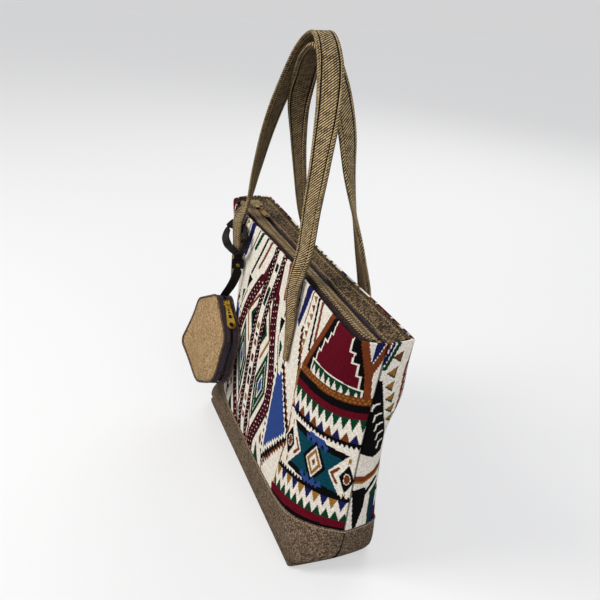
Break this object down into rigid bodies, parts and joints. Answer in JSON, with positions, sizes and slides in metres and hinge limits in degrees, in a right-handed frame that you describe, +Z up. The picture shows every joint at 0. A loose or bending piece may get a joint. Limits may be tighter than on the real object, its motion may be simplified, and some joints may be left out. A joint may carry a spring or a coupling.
{
  "type": "woven shoulder bag",
  "caption": "Zip-top tote bag of patterned jacquard cloth with a plain twill base, twill shoulder straps and a small zipped hexagonal pouch hanging from a leatherette loop.",
  "frame": {"origin": "middle of the flat bottom of the bag, on the surface it stands on", "axes": "+Z up, +X along the bag's length towards the end away from the pouch, front panel with the pouch facing -Y"},
  "size_m": [0.4, 0.1358, 0.5128],
  "materials": {
    "jacquard": "woven",
    "base_twill": "coarse twill",
    "strap_twill": "coarse twill",
    "pouch_twill": "coarse twill",
    "lining": "plain weave",
    "zip_tape": "woven tape",
    "piping": "twill",
    "leatherette": "semi-gloss",
    "brass": "polished"
  },
  "bodies": {
    "bag": {"front_panel": "jacquard", "back_panel": "jacquard", "base": "base_twill", "front_facing": "strap_twill", "back_facing": "strap_twill", "lining": "lining", "front_zip_strip": "strap_twill", "back_zip_strip": "strap_twill", "front_zip_tape": "zip_tape", "back_zip_tape": "zip_tape", "zip_tail_tab": "strap_twill", "zip_end_stop": "brass", "front_handle": "strap_twill", "back_handle": "strap_twill", "pouch_loop": "leatherette", "loop_keeper": "leatherette", "loop_rivet": "brass"},
    "main_slider": {"zip_slider": "brass"},
    "main_pull": {"zip_pull": "brass"},
    "pouch": {"pouch_front": "pouch_twill", "pouch_back": "pouch_twill", "pouch_front_piping": "piping", "pouch_back_piping": "piping", "pouch_gusset": "zip_tape", "pouch_front_zip_tape": "zip_tape", "pouch_back_zip_tape": "zip_tape", "pouch_tab": "leatherette"},
    "small_slider": {"pouch_slider": "brass"},
    "small_pull": {"pouch_pull": "brass"}
  },
  "joints": [
    {"name": "zip_slide", "type": "slide", "parent": "bag", "child": "main_slider", "axis": [1, 0, 0], "range_m": [0, 0.315]},
    {"name": "zip_pull_lift", "type": "hinge", "parent": "main_slider", "child": "main_pull", "pos_m": [-0.15, 0, 0.284], "axis": [0, -1, 0], "range_deg": [0, 150]},
    {"name": "pouch_swing", "type": "hinge", "parent": "bag", "child": "pouch", "pos_m": [-0.107, -0.0396, 0.2199], "axis": [-0.9659, 0.2588, 0], "range_deg": [0, 80]},
    {"name": "pouch_zip_slide", "type": "slide", "parent": "pouch", "child": "small_slider", "axis": [0.8698, -0.05, -0.4908], "range_m": [0, 0.032]},
    {"name": "pouch_pull_lift", "type": "hinge", "parent": "small_slider", "child": "small_pull", "pos_m": [-0.11867, -0.046, 0.17232], "axis": [0.0514, -0.9803, 0.1908], "range_deg": [0, 100]}
  ]
}
